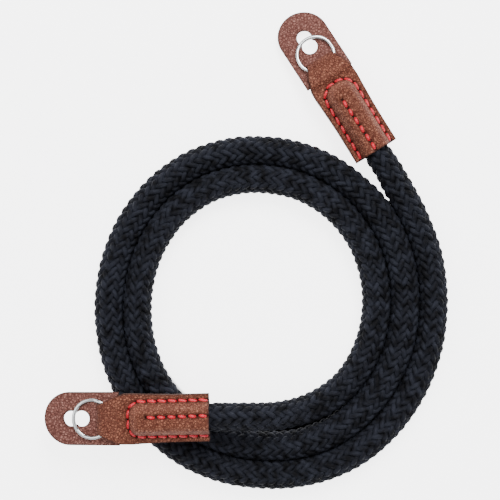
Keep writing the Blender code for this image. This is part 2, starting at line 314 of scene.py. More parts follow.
@dataclass(frozen=True)
class GrainedLeather:
    """Pigmented cow leather, pressed with a small pebble grain.

    The grain breaks its satin shine into specks. The attribute "pressed" of the mesh holds painted
    shade, in red along the seams and at the fold by the nose and in green in the needle holes, and
    in blue the darker cut edges.
    The fine grain between pebbles is drawn coarser than real pores, which are too fine to show.
    """

    name: str
    colour: str
    light: str
    # the painted shade's colour, for the grain's valleys, the seams and the fold
    painted_shade_colour: str
    edge: str = "#2E1C18"
    # the painted shade's colour in the needle holes
    hole: str = "#160304"
    pebble: float = 1.05 * MM
    bend: float = 0.5 * MM
    bends_per_mm: float = 0.9
    pores_per_mm: float = 3.0
    mottles_per_mm: float = 0.88
    relief: float = 0.26 * MM

    def material(self) -> Material:
        """Pebbles, pores, a slow change of colour, painted shade and darker cut edges."""
        material, tree = new_material(self.name)
        place = add_node(tree, "TexCoord")["Object"]
        bends = {"Vector": place, "Scale": self.bends_per_mm / MM, "Detail": 1.0}
        warp = {0: add_node(tree, "TexNoise", bends)["Color"], 1: (self.bend,) * 3, 2: place}
        bent = add_node(tree, "VectorMath", warp, operation="MULTIPLY_ADD")[0]
        cells = {"Vector": bent, "Scale": 1 / self.pebble}
        pebbles = add_node(tree, "TexVoronoi", cells, feature="DISTANCE_TO_EDGE")["Distance"]
        slope = {"Value": pebbles, "From Max": 0.28}
        crown = add_node(tree, "MapRange", slope, interpolation_type="SMOOTHSTEP")[0]
        fine = {"Scale": self.pores_per_mm / MM, "Detail": 3.0, "Roughness": 0.6}
        pores = {0: add_node(tree, "TexNoise", {"Vector": place, **fine})["Fac"], 1: 0.6, 2: crown}
        height = add_node(tree, "Math", pores, operation="MULTIPLY_ADD")[0]
        relief = {"Height": height, "Strength": 0.9, "Distance": self.relief}

        coarse = {"Scale": self.mottles_per_mm / MM, "Detail": 3.0, "Roughness": 0.7}
        mottles = add_node(tree, "TexNoise", {"Vector": place, **coarse})["Fac"]
        shades = ((0.37, self.colour), (0.66, self.light))
        result = add_node(tree, "ValToRGB", {"Fac": mottles}, shades)["Color"]
        # Painted shade: the valleys between the pebbles are darkened.
        valley_shade = add_node(tree, "Math", {0: 1.0, 1: crown}, operation="SUBTRACT")[0]
        pressed = add_node(tree, "Attribute", attribute_name="pressed")["Color"]
        parts = add_node(tree, "SeparateColor", {0: pressed})
        # Painted shade in the valleys, along the seams, at the fold and in the needle holes; blue
        # darkens the cut edges.
        for share, most, colour in (
            (valley_shade, 0.75, self.painted_shade_colour),
            (parts["Red"], 0.45, self.painted_shade_colour),
            (parts["Blue"], 0.75, self.edge),
            (parts["Green"], 0.97, self.hole),
        ):
            part = add_node(tree, "Math", {0: share, 1: most}, operation="MULTIPLY")[0]
            mixed = {"Factor": part, "A": result, "B": linear(colour)}
            result = add_node(tree, "Mix", mixed, data_type="RGBA")["Result"]
        bump = add_node(tree, "Bump", relief)["Normal"]
        satin = {"Roughness": 0.72, "Specular IOR Level": 0.14}
        return dress(material, {"Base Color": result, "Normal": bump, **satin})


@dataclass(frozen=True)
class CutEdge:
    """Leather's raw cut edge, sealed with a thin grey-brown edge paint: rough and dull."""

    name: str = "painted_leather_edge"
    colour: str = "#33221E"
    light: str = "#574038"
    fibres_per_mm: float = 1.8

    def material(self) -> Material:
        """Short fibres along the cut, under the paint."""
        material, tree = new_material(self.name)
        place = add_node(tree, "TexCoord")["Object"]
        fibres = {"Vector": place, "Scale": self.fibres_per_mm / MM, "Detail": 3.0}
        fibre = add_node(tree, "TexNoise", fibres)["Fac"]
        shades = ((0.35, self.colour), (0.7, self.light))
        relief = {"Height": fibre, "Strength": 0.6, "Distance": 0.1 * MM}
        colour = add_node(tree, "ValToRGB", {"Fac": fibre}, shades)["Color"]
        bump = add_node(tree, "Bump", relief)["Normal"]
        dull = {"Roughness": 0.8, "Specular IOR Level": 0.1}
        return dress(material, {"Base Color": colour, "Normal": bump, **dull})


@dataclass(frozen=True)
class WaxedThread:
    """Waxed polyester thread in bright red: the wax gives each stitch one soft highlight."""

    name: str = "waxed_polyester_thread"
    colour: str = "#B00C1F"
    light: str = "#DC2436"
    sheen: str = "#FF8A86"
    plies: int = 3
    twists: float = 4.5

    def material(self) -> Material:
        """Twisted plies, with painted shade in their grooves and painted highlight on them."""
        material, tree = new_material(self.name)
        wave = {"Value": twist(tree, self.twists, self.plies), "From Min": -1.0, "From Max": 1.0}
        ply_relief_and_shade = add_node(tree, "MapRange", wave)[0]
        # The colour follows the plies: painted shade in their grooves, painted highlight on their
        # crowns.
        shades = ((0.1, self.colour), (0.9, self.light))
        relief = {"Height": ply_relief_and_shade, "Strength": 0.6, "Distance": 0.08 * MM}
        colour = add_node(tree, "ValToRGB", {"Fac": ply_relief_and_shade}, shades)["Color"]
        bump = add_node(tree, "Bump", relief)["Normal"]
        waxed = {"Roughness": 0.38, "Specular IOR Level": 0.5}
        sheen = {"Sheen Weight": 0.05, "Sheen Tint": linear(self.sheen)}
        return dress(material, {"Base Color": colour, "Normal": bump, **waxed, **sheen})


@dataclass(frozen=True)
class PlatedSteel:
    """Nickel-plated spring steel: a clear mirror with faint wire-drawing marks."""

    name: str = "nickel_plated_steel"
    colour: str = "#B8BABB"
    marks_per_mm: float = 0.9

    def material(self) -> Material:
        """Mirror with hairline marks and a little haze where it has rubbed."""
        material, tree = new_material(self.name)
        place = add_node(tree, "TexCoord")["Object"]
        lines = {"Vector": place, "Scale": self.marks_per_mm / MM, "Detail": 3.0}
        marks = add_node(tree, "TexNoise", lines)["Fac"]
        haze = add_node(tree, "MapRange", {"Value": marks, "To Min": 0.05, "To Max": 0.12})[0]
        relief = {"Height": marks, "Strength": 0.1, "Distance": 0.01 * MM}
        bump = add_node(tree, "Bump", relief)["Normal"]
        metal = {"Base Color": linear(self.colour), "Metallic": 1.0, "Roughness": haze}
        return dress(material, {**metal, "Normal": bump})


@dataclass(frozen=True)
class PaleFloor:
    """A seamless sheet of matt white paper, lit through from below so that no shade shows on it.

    The coil's turns touch, and under them the paper's glow is turned off and its colour is
    painted near black: a painted shade. The shade's outer border follows the coil's spiral, and is
    wider where the rope's free stretch lies beside the outer turn.
    """

    name: str = "matt_white_paper"
    colour: str = "#FAFAFB"
    # the painted shade's near-black colour, for the paper under the coil
    shade: str = "#08080A"
    glow: float = 4.0
    coil: tuple[float, float, float] = (0.01762, -0.03315, 0.0)
    squeeze: float = 0.958
    shade_inner: float = 49.4 * MM
    shade_outer: float = 71.6 * MM
    turn: float = 12.0 * MM
    crease: float = 8.0 * MM
    crease_start: float = 0.885
    crease_full: float = 0.90
    soft_edge: float = 0.8 * MM

    def material(self) -> Material:
        """Plain matt white, with painted shade and no glow under the middle of the coiled turns."""
        material, tree = new_material(self.name)
        place = add_node(tree, "TexCoord")["Object"]
        offset = add_node(tree, "VectorMath", {0: place, 1: self.coil}, operation="SUBTRACT")
        squeeze = {0: offset[0], 1: (1.0, -self.squeeze, 1.0)}
        rounded = add_node(tree, "VectorMath", squeeze, operation="MULTIPLY")[0]
        reach = add_node(tree, "VectorMath", {0: rounded}, operation="LENGTH")["Value"]
        spot = add_node(tree, "SeparateXYZ", {"Vector": rounded})
        angle = add_node(tree, "Math", {0: spot["Y"], 1: spot["X"]}, operation="ARCTAN2")[0]
        turns = add_node(tree, "Math", {0: angle, 1: math.tau}, operation="DIVIDE")[0]
        share = add_node(tree, "Math", {0: turns}, operation="FRACT")[0]
        winding = {0: share, 1: -self.turn, 2: self.shade_outer}
        spiral = add_node(tree, "Math", winding, operation="MULTIPLY_ADD")[0]
        wider = {"From Min": self.crease_start, "From Max": self.crease_full, "To Max": self.crease}
        beside = add_node(tree, "MapRange", {"Value": share, **wider})[0]
        border = add_node(tree, "Math", {0: spiral, 1: beside}, operation="ADD")[0]
        past = add_node(tree, "Math", {0: reach, 1: border}, operation="SUBTRACT")[0]
        blur, inner = self.soft_edge, self.shade_inner
        fade_out = {"Value": past, "From Min": -blur, "From Max": blur}
        fade_in = {"Value": reach, "From Min": inner + blur, "From Max": inner - blur}
        outside, inside = (add_node(tree, "MapRange", fade)[0] for fade in (fade_out, fade_in))
        # lit is 0 under the coil, where the paper is painted near black as shade and does not glow
        lit = add_node(tree, "Math", {0: outside, 1: inside}, operation="MAXIMUM")[0]
        shades = ((0.0, self.shade), (1.0, self.colour))
        power = add_node(tree, "Math", {0: lit, 1: self.glow}, operation="MULTIPLY")[0]
        colour = add_node(tree, "ValToRGB", {"Fac": lit}, shades)["Color"]
        matt = {"Base Color": colour, "Roughness": 0.9, "Specular IOR Level": 0.1}
        glow = {"Emission Color": linear(self.colour), "Emission Strength": power}
        return dress(material, matt | glow)


def tubes(lines: list[Line], radius: float, resolution: int) -> bpy.types.Mesh:
    """Makes round tubes along lines, as one mesh with UVs.

    Args:
        lines: Each tube's points, each with its share of the full radius.
        radius: The full radius.
        resolution: How finely the tubes are rounded: they have 4 sides and 2 more for each step.

    Returns:
        The mesh, smooth and with closed ends.
    """
    curve = bpy.data.curves.new("lines", "CURVE")
    curve.dimensions = "3D"
    curve.bevel_depth = radius
    curve.bevel_resolution = resolution
    curve.use_fill_caps = True
    for line in lines:
        spline = curve.splines.new("POLY")
        spline.points.add(len(line) - 1)
        spline.points.foreach_set("co", [c for point, _ in line for c in (*point, 1.0)])
        spline.points.foreach_set("radius", [share for _, share in line])
    holder = bpy.data.objects.new("lines", curve)
    mesh = bpy.data.meshes.new_from_object(holder)
    bpy.data.objects.remove(holder)
    bpy.data.curves.remove(curve)
    mesh.shade_smooth()
    return mesh


def put_in_scene(name: str, data: bpy.types.ID) -> bpy.types.Object:
    """Makes an object of a mesh, a light or a camera and puts it in the scene."""
    data.name = name
    thing = bpy.data.objects.new(name, data)
    bpy.context.scene.collection.objects.link(thing)
    return thing


def add_piece(
    name: str, mesh: bpy.types.Mesh, materials: list[Material], body: str
) -> bpy.types.Object:
    """Puts a finished mesh in the scene and lets it ride on a body.

    Args:
        name: The piece's name.
        mesh: Its mesh, in place.
        materials: Its materials, in the order of its faces' material numbers.
        body: The body that it rides on.

    Returns:
        The new object.
    """
    piece = put_in_scene(name, mesh)
    mesh.materials.clear()
    for material in materials:
        mesh.materials.append(material)
    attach(piece, body)
    log.info("%s: %d faces", name, len(mesh.polygons))
    return piece


def finish_mesh(bm: bmesh.types.BMesh, sharp_from: float = 60.0) -> bpy.types.Mesh:
    """Ends work on a bmesh.

    Args:
        bm: The geometry, which is freed.
        sharp_from: The angle between faces, in degrees, from which an edge stays sharp.

    Returns:
        The mesh.
    """
    mesh = bpy.data.meshes.new("shape")
    bm.to_mesh(mesh)
    bm.free()
    mesh.shade_smooth()
    mesh.set_sharp_from_angle(angle=math.radians(sharp_from))
    return mesh


def give_thickness(
    piece: bpy.types.Object, thickness: float, rounding: float, segments: int
) -> None:
    """Makes leather of a sheet: its thickness, its cut edge's own material, and rounded edges.

    Args:
        piece: The sheet, whose faces are the leather's outer face.
        thickness: The leather's thickness.
        rounding: How far its edges are rounded.
        segments: How finely they are rounded.
    """
    wall = piece.modifiers.new("thickness", "SOLIDIFY")
    wall.thickness = thickness
    wall.offset = -1.0
    wall.use_rim = True
    wall.material_offset_rim = 1
    round_off = piece.modifiers.new("rounded edges", "BEVEL")
    round_off.width = rounding
    round_off.segments = segments
    round_off.limit_method = "ANGLE"
    round_off.angle_limit = math.radians(50)


@dataclass(frozen=True)
class EndFrame:
    """Where one end of the strap lies, and the bend before its neck."""

    side: Side
    mouth: Vector
    heading: float
    bend_start: float = 30.3 * MM
    bend_length: float = 5.5 * MM
    droop: float = math.radians(8.6482)

    def settle(self, along: float, across: float, up: float) -> Vector:
        """Carries a point of the straight leather end to its place.

        Args:
            along: How far it is from the mouth.
            across: How far it is to the side.
            up: How far it is above the middle.

        Returns:
            The point in the strap's frame.
        """
        turned = min(max(along - self.bend_start, 0.0), self.bend_length)
        angle = self.droop * turned / self.bend_length
        radius = self.bend_length / self.droop
        past = max(along - self.bend_start - self.bend_length, 0.0)
        x = min(along, self.bend_start) + radius * math.sin(angle) + past * math.cos(angle)
        z = -radius * (1 - math.cos(angle)) - past * math.sin(angle)
        point = Vector((x + up * math.sin(angle), across, z + up * math.cos(angle)))
        return self.mouth + Matrix.Rotation(self.heading, 3, "Z") @ point

    def settle_mesh(self, bm: bmesh.types.BMesh) -> None:
        """Carries every vertex of a straight leather end's mesh to its place."""
        for vert in bm.verts:
            vert.co = self.settle(*vert.co)


@dataclass(frozen=True)
class Route:
    """The rope's route: a flat coil, and a free stretch from it to each leather end."""

    rope: float = 11.8 * MM
    turn_gap: float = 0.2 * MM
    centre: tuple[float, float] = (0.01762, -0.03315)
    coil_radius: float = 70.1 * MM
    coil_stretch: float = 3.1 * MM
    coil_degrees: int = 765
    step_degrees: int = 15
    settling_step: int = 30
    inside: float = 26.8 * MM
    mouth_height_a: float = 7.40025 * MM
    mouth_height_b: float = 19.50025 * MM
    heading_a: float = math.radians(121.8)
    heading_b: float = math.radians(181.3)
    settling: tuple[float, ...] = (
        *(0.001, 0.012, 0.020, 0.002, 0.013, 0.011, 0.009, 0.017, 0.018, 0.001, 0.001, 0.003),
        *(0.001, 0.010, 0.015, 0.000, 0.010, 0.010, 0.007, 0.014, 0.015, -0.001, -0.001, 0.001),
        *(0.001, 0.006, 0.009),
    )
    stretch_a: tuple[tuple[float, float, float], ...] = (
        (0.977, 0.261, 0.02),
        (0.890, 0.514, 0.12),
        (0.755, 0.759, 0.7),
        (0.658, 0.908, 1.0),
    )
    stretch_b: tuple[tuple[float, float, float], ...] = (
        (0.438, -0.934, 0.16),
        (0.120, -1.001, 0.52),
        (-0.199, -0.995, 0.86),
        (-0.500, -0.989, 1.0),
    )

    def radius_at(self, degrees: float) -> float:
        """The true spiral's radius after so many degrees."""
        return self.coil_radius - (self.rope + self.turn_gap) * degrees / 360

    def settled(self, degrees: float) -> float:
        """The share by which the hand-laid coil lies outside its true spiral there."""
        rows = tuple((self.settling_step * i, share) for i, share in enumerate(self.settling))
        return read_table(rows, degrees)

    def coil_point(self, degrees: float) -> Vector:
        """A point of the coil's centreline, by how far the rope has run round."""
        angle = math.radians(degrees)
        radius = self.radius_at(degrees) + self.coil_radius * self.settled(degrees)
        x = self.centre[0] + radius * math.cos(angle)
        y = self.centre[1] - (radius + self.coil_stretch) * math.sin(angle)
        return Vector((x, y, self.rope / 2))

    def stretch(self, side: Side) -> list[Vector]:
        """The points of a free stretch, from the coil to the mouth."""
        if side is Side.A:
            rows, radius, top = self.stretch_a, self.coil_radius, self.mouth_height_a
        else:
            rows, radius = self.stretch_b, self.radius_at(self.coil_degrees)
            top = self.mouth_height_b
        (x, y), lying = self.centre, self.rope / 2
        return [
            Vector((x + right * radius, y + ahead * radius, lying + climb * (top - lying)))
            for right, ahead, climb in rows
        ]

    def heading(self, side: Side) -> float:
        """Which way a leather end points."""
        return self.heading_a if side is Side.A else self.heading_b

    def end_frame(self, side: Side) -> EndFrame:
        """The frame of a leather end."""
        return EndFrame(side, self.stretch(side)[-1], self.heading(side))

    def points(self) -> list[Vector]:
        """The route's points, from inside end A to inside end B."""
        turns = [
            self.coil_point(degrees)
            for degrees in range(0, self.coil_degrees + 1, self.step_degrees)
        ]
        ends = []
        for side in Side:
            heading = self.heading(side)
            ahead = Vector((math.cos(heading), math.sin(heading), 0)) * self.inside
            run = self.stretch(side)
            ends.append([*run, run[-1] + ahead / 2, run[-1] + ahead])
        return ends[0][::-1] + turns + ends[1]


@dataclass
class Station:
    """A place on the rope's centreline, with two directions across it.

    Its spread is how much wider the rope lies there, as a share, to its left and to its right.
    """

    along: float
    centre: Vector
    up: Vector
    side: Vector
    held: float
    spread: list[float] = field(default_factory=lambda: [0.0, 0.0])


@dataclass
class Rope:
    """The braided rope: a core, and 12 plump yarns each way that pass over two and under two."""

    route: Route
    carriers: int = 12
    lay: float = 45.7 * MM
    yarn_radius: float = 1.10 * MM
    middle_radius: float = 4.00 * MM
    wave: float = 0.66 * MM
    plumpness: float = 0.10
    core_radius: float = 4.10 * MM
    flattening: float = 0.03
    touching: float = 12.7 * MM
    parted: float = 14.6 * MM
    overlap: float = 0.1 * MM
    unevenness: float = 2.9 * MM
    uneven_share: float = 0.035
    yarn_offset: float = 2.4
    step: float = 1.0 * MM
    hidden: float = 20.0 * MM
    held_share: float = 0.95
    held_from: float = 4.0 * MM
    held_fully: float = -1.0 * MM
    stations: list[Station] = field(default_factory=list)

    def survey(self) -> list[Vector]:
        """Walks the route and keeps a station at each step, with no twist from one to the next.

        Returns:
            The whole centreline's points.
        """
        line = smooth_line(self.route.points(), self.step)
        length = self.step * (len(line) - 1)
        up = Vector((0, 0, 1))
        for i, centre in enumerate(line):
            ahead = line[min(i + 1, len(line) - 1)] - line[max(i - 1, 0)]
            ahead.normalize()
            up = (up - ahead * up.dot(ahead)).normalized()
            from_mouth = min(i * self.step, length - i * self.step) - self.route.inside
            held = smooth_share(from_mouth, self.held_from, self.held_fully)
            share = 1 - (1 - self.held_share) * held
            if self.hidden <= i * self.step <= length - self.hidden:
                self.stations.append(Station(i * self.step, centre, up, ahead.cross(up), share))
        return line

    def press_together(self) -> None:
        """Spreads the soft rope sideways where another turn lies beside it, until they touch."""
        tree = KDTree(len(self.stations))
        for i, station in enumerate(self.stations):
            tree.insert(station.centre, i)
        tree.balance()
        reach = (self.middle_radius + self.wave + self.yarn_radius) * (1 + self.flattening)
        for i, station in enumerate(self.stations):
            for spot, other, distance in tree.find_range(station.centre, self.parted):
                if abs(i - other) * self.step < 4 * self.parted:
                    continue
                gap = distance / 2 - reach + self.overlap
                gap *= smooth_share(distance, self.parted, self.touching)
                right = int((spot - station.centre).dot(station.side) > 0)
                station.spread[right] = max(station.spread[right], gap / reach)

    def yarn(self, hand: Hand, carrier: int) -> Line:
        """One yarn of the braid.

        Args:
            hand: Which way its carrier runs.
            carrier: Its carrier's number.

        Returns:
            The yarn's line.
        """
        pitch = math.tau / self.carriers
        line = []
        for station in self.stations:
            angle = hand.value * math.tau * station.along / self.lay + carrier * pitch
            crossing = angle / (pitch / 2)
            over = math.cos(math.pi * (crossing - 0.5) / 2)
            radius = (self.middle_radius + hand.value * self.wave * over) * station.held
            flat = self.flattening * (station.held - self.held_share) / (1 - self.held_share)
            flat += station.spread[int(math.sin(angle) > 0)]
            out = station.up * math.cos(angle) + station.side * (math.sin(angle) * (1 + flat))
            phase = self.yarn_offset * carrier * hand.value
            uneven = self.uneven_share * math.sin(station.along / self.unevenness + phase)
            plump = self.plumpness * hand.value * over
            line.append((station.centre + out * radius, 1 + plump + uneven))
        return line

    def build(self, yarn: Material, core: Material) -> None:
        """Args:
            yarn: The yarns' material.
            core: The core's material.
        """
        path = self.survey()
        self.press_together()
        visible = [(station.centre, station.held) for station in self.stations]
        tube = tubes([visible[::2]], self.core_radius, 4)
        core_piece = add_piece("rope_core", tube, [core], BODY)
        for number, first in enumerate(range(0, self.carriers, 4)):
            lines = [
                self.yarn(hand, carrier) for hand in Hand for carrier in range(first, first + 4)
            ]
            mesh = tubes(lines, self.yarn_radius, 2)
            add_piece(f"braid_{number}", mesh, [yarn], BODY)
        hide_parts("rope")
        tuple(self.route.stretch(Side.A)[-1])


@dataclass(frozen=True)
class Sewing:
    """How one end was sewn by hand: its U-shaped seam, and its row of stitches down the middle."""

    front: float
    corner: float
    row_at_mouth: float
    row_inside: float


SEWING = {
    Side.A: Sewing(33.0 * MM, 5.8 * MM, 0.8 * MM, 1.8 * MM),
    Side.B: Sewing(32.4 * MM, 4.6 * MM, -1.7 * MM, -1.4 * MM),
}


@dataclass
class LeatherEnd:
    """A leather strip, folded round the ring and sewn to a sleeve round the rope's end."""

    place: EndFrame
    sewing: Sewing
    leather: float = 1.2 * MM
    slack: float = 0.02 * MM
    rise: float = 7.105 * MM
    seam: float = 7.0 * MM
    centre_seam: float = 24.9 * MM
    neck_half_height: float = 2.9 * MM
    neck_gap: float = 0.3 * MM
    pocket_rear: float = 36.1 * MM
    nose: float = 45.4 * MM
    pitch: float = 4.15 * MM
    slant: float = 0.25 * MM
    thread_radius: float = 0.70 * MM
    thread_inset: float = 0.56 * MM
    row_inset: float = 0.80 * MM
    thread_dive: float = 1.05 * MM
    thread_stand: float = 0.30 * MM
    thread_end: float = 0.7
    thread_arch: float = 0.4
    stitch_steps: int = 10
    first_hole: float = 0.3 * MM
    hole_width: float = 0.72 * MM
    hole_depth: float = 0.70 * MM
    hole_reach: float = 1.5 * MM
    groove_width: float = 1.2 * MM
    groove_depth: float = 0.75 * MM
    groove_fade: float = 2.5 * MM
    seam_width: float = 0.6 * MM
    seam_depth: float = 0.16 * MM
    # Reach and strength of the painted shade along the seams, and where it starts and is full at
    # the fold.
    seam_shade: float = 0.9 * MM
    row_shade: float = 0.8 * MM
    row_darkness: float = 0.8
    seam_darkness: float = 0.8
    fold_shade_from: float = 5.5 * MM
    fold_shade_full: float = 1.0 * MM
    border_rise: float = 0.12 * MM
    border_from: float = 0.3 * MM
    border_full: float = 2.0 * MM
    edge_width: float = 0.35 * MM
    edge_drop: float = 0.10 * MM
    edge_rounding: float = 0.18 * MM
    grid: float = 0.36 * MM
    rows_share: float = 1.35
    half_widths: tuple[tuple[float, float], ...] = (
        (0.0, 0.00950),
        (0.0160, 0.00950),
        (0.0270, 0.00990),
        (0.0315, 0.01012),
        (0.0345, 0.00992),
        (0.0365, 0.00935),
        (0.0385, 0.00865),
        (0.0404, 0.00790),
        (0.0422, 0.00700),
        (0.0438, 0.00635),
        (0.0454, 0.00600),
    )
    profile: tuple[tuple[float, float], ...] = (
        (0.00, 1.00),
        (0.20, 1.02),
        (0.42, 1.04),
        (0.62, 0.90),
        (0.80, 0.58),
        (1.00, 0.00),
    )
    holes: list[Vector] = field(default_factory=list)
    stitches: list[tuple[Vector, Vector]] = field(default_factory=list)

    def outside_seam(self, along: float, across: float) -> float:
        """How far a place is outside the U-shaped seam; inside it this is negative."""
        x = abs(across) - (self.seam - self.sewing.corner)
        y = along - (self.sewing.front - self.sewing.corner)
        outer = math.hypot(max(x, 0.0), max(y, 0.0))
        return min(max(x, y), 0.0) + outer - self.sewing.corner

    def row(self, along: float) -> float:
        """How far to the side the row of stitches down the middle runs."""
        share = min(max(along / self.centre_seam, 0.0), 1.0)
        return self.sewing.row_at_mouth * (1 - share) + self.sewing.row_inside * share

    def height(self, along: float, across: float) -> float:
        """How high the strip's outer face stands above the middle of the leather end.

        Args:
            along: How far the place is from the mouth.
            across: How far it is to the side.

        Returns:
            The height, without the needle holes.
        """
        outside = self.outside_seam(along, across)
        pressed = self.leather + self.slack
        if outside < 0:
            share = max(1 + outside / self.seam, 0.0)
            up = pressed + (self.rise - pressed) * read_table(self.profile, share)
            fade = smooth_share(along, self.centre_seam + self.groove_fade, self.centre_seam)
            up -= self.groove_depth * fade * bump_at(across - self.row(along), self.groove_width)
        else:
            neck = smooth_share(along, self.sewing.front + self.neck_gap, self.pocket_rear)
            up = pressed + (self.neck_half_height - pressed) * neck
            up += self.border_rise * smooth_share(outside, self.border_from, self.border_full)
        return up - self.seam_depth * bump_at(outside, self.seam_width)

    def lay_out_seams(self) -> None:
        """Finds the needle holes and the stitches between them, along both seams."""
        radius = self.sewing.corner
        corner = math.pi / 2 * radius
        straight = self.sewing.front - radius
        front = 2 * (self.seam - radius)
        half = straight + corner + front / 2

        def on_u(distance: float) -> tuple[Vector, Vector]:
            """The place and direction at a distance along the U from its apex's middle."""
            sign = 1 if distance >= 0 else -1
            far = abs(distance)
            if far <= front / 2:
                spot, way = Vector((self.sewing.front, sign * far, 0)), Vector((0, sign, 0))
            elif far <= front / 2 + corner:
                turn = (far - front / 2) / radius
                x = straight + radius * math.cos(turn)
                spot = Vector((x, sign * (front / 2 + radius * math.sin(turn)), 0))
                way = Vector((-math.sin(turn), sign * math.cos(turn), 0))
            else:
                spot = Vector((straight - (far - front / 2 - corner), sign * self.seam, 0))
                way = Vector((-1, 0, 0))
            return spot, way * sign

        reach = half - self.first_hole
        count = round(2 * reach / self.pitch)
        runs = [[on_u(-reach + 2 * reach * i / count) for i in range(count + 1)]]
        length = self.centre_seam - self.first_hole
        count = round(length / self.pitch)
        row = [self.first_hole + length / count * i for i in range(count + 1)]
        runs.append([(Vector((at, self.row(at), 0)), Vector((1, 0, 0))) for at in row])
        for run, inset in zip(runs, (self.thread_inset, self.row_inset)):
            self.holes.extend(spot for spot, _ in run)
            for (start, way_in), (end, way_out) in zip(run, run[1:]):
                lean_in = Vector((-way_in.y, way_in.x, 0)) * self.slant
                lean_out = Vector((-way_out.y, way_out.x, 0)) * self.slant
                first = start + lean_in + way_in * inset
                self.stitches.append((first, end - lean_out - way_out * inset))

    def fold(self, distance: float) -> tuple[float, float, float]:
        """Where a line across the strip lies once the strip is folded.

        Args:
            distance: How far the line is from the top layer's mouth, along the outer face.

        Returns:
            How far it is from the mouth, and the share of the outer face's height there for a
            place on the top layer (1) and on the bottom layer (-1).
        """
        start = self.nose - self.neck_half_height
        arc = math.pi * self.neck_half_height
        if distance <= start:
            return distance, 1.0, 0.0
        if distance >= start + arc:
            return 2 * start + arc - distance, -1.0, 0.0
        turn = (distance - start) / self.neck_half_height
        return start + self.neck_half_height * math.sin(turn), math.cos(turn), 1.0

    def build_strip(self, leather: Material, edge: Material) -> None:
        """Makes the folded strip, dimpled at its needle holes.

        Args:
            leather: The face's material.
            edge: The cut edge's material.
        """
        start = self.nose - self.neck_half_height
        whole = 2 * start + math.pi * self.neck_half_height
        bm = bmesh.new()
        bmesh.ops.create_grid(
            bm,
            x_segments=round(whole / self.grid),
            y_segments=round(2 * self.seam / self.grid * self.rows_share),
            size=0.5,
        )
        pressed = bm.verts.layers.float_color.new("pressed")
        for vert in bm.verts:
            along, layer, folded = self.fold((vert.co.x + 0.5) * whole)
            half_width = read_table(self.half_widths, along)
            share = 2 * vert.co.y
            across = share * half_width
            up = self.height(along, across)
            hole = 0.0
            for spot in self.holes:
                near = math.hypot(along - spot.x, across - spot.y)
                if near < self.hole_reach:
                    hole = max(hole, bump_at(near, self.hole_width))
            # Painted shade for the leather's colour: along the seams, in the needle holes (hole)
            # and at the fold.
            seam = bump_at(self.outside_seam(along, across), self.seam_shade)
            if along < self.centre_seam:
                row = bump_at(across - self.row(along), self.row_shade)
                seam = max(seam, self.row_darkness * row)
            border = half_width - abs(across)
            if not folded:
                border = min(border, along)
            near_edge = bump_at(border, self.edge_width)
            up -= self.hole_depth * hole + self.edge_drop * near_edge
            # Painted shade: the leather darkens towards the nose, where the fold curves down.
            bent = smooth_share(along, self.nose - self.fold_shade_from, self.nose - self.fold_shade_full)
            vert[pressed] = (max(self.seam_darkness * seam, bent), hole, near_edge, 1.0)
            vert.co = self.place.settle(along, across, up * layer)
        bmesh.ops.recalc_face_normals(bm, faces=bm.faces)
        middle = self.place.settle(self.seam, 0, 0)
        top = min(bm.faces, key=lambda face: (face.calc_center_median() - middle).length)
        if top.normal.dot(top.calc_center_median() - middle) < 0:
            bmesh.ops.reverse_faces(bm, faces=bm.faces)
        name = f"leather_strip_{self.place.side.value}"
        mesh = finish_mesh(bm)
        piece = add_piece(name, mesh, [leather, edge], BODY)
        give_thickness(piece, self.leather, self.edge_rounding, 2)
        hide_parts(f"leather_end_{self.place.side.value}")

    def build_stitches(self, thread: Material) -> None:
        """Makes the stitches of both faces, each diving into a needle hole at both of its ends."""
        lines = []
        for face in Face:
            for start, end in self.stitches:
                line = []
                for i in range(self.stitch_steps + 1):
                    share = i / self.stitch_steps
                    spot = start.lerp(end, share)
                    arch = math.sin(math.pi * share) ** self.thread_arch
                    lift = (self.thread_dive + self.thread_stand) * arch - self.thread_dive
                    up = self.height(spot.x, spot.y) + lift
                    point = self.place.settle(spot.x, spot.y, face.value * up)
                    line.append((point, self.thread_end + (1 - self.thread_end) * arch))
                lines.append(line)
        mesh = tubes(lines, self.thread_radius, 2)
        name = f"stitches_{self.place.side.value}"
        add_piece(name, mesh, [thread], BODY)

    def build(self, leather: Material, edge: Material, thread: Material) -> None:
        """Makes the strip and its stitches."""
        self.lay_out_seams()
        self.build_strip(leather, edge)
        self.build_stitches(thread)


def leave_circle(start: Vector, way: Vector, centre: Vector, radius: float) -> float:
    """How far a ray runs until it leaves a circle, or 0 where it misses it.

    Args:
        start: Where the ray starts.
        way: Its direction.
        centre: The circle's centre.
        radius: The circle's radius.

    Returns:
        The distance.
    """
    offset = start - centre
    ahead = offset.dot(way)
    inner = ahead**2 - offset.dot(offset) + radius**2
    return math.sqrt(inner) - ahead if inner > 0 else 0.0


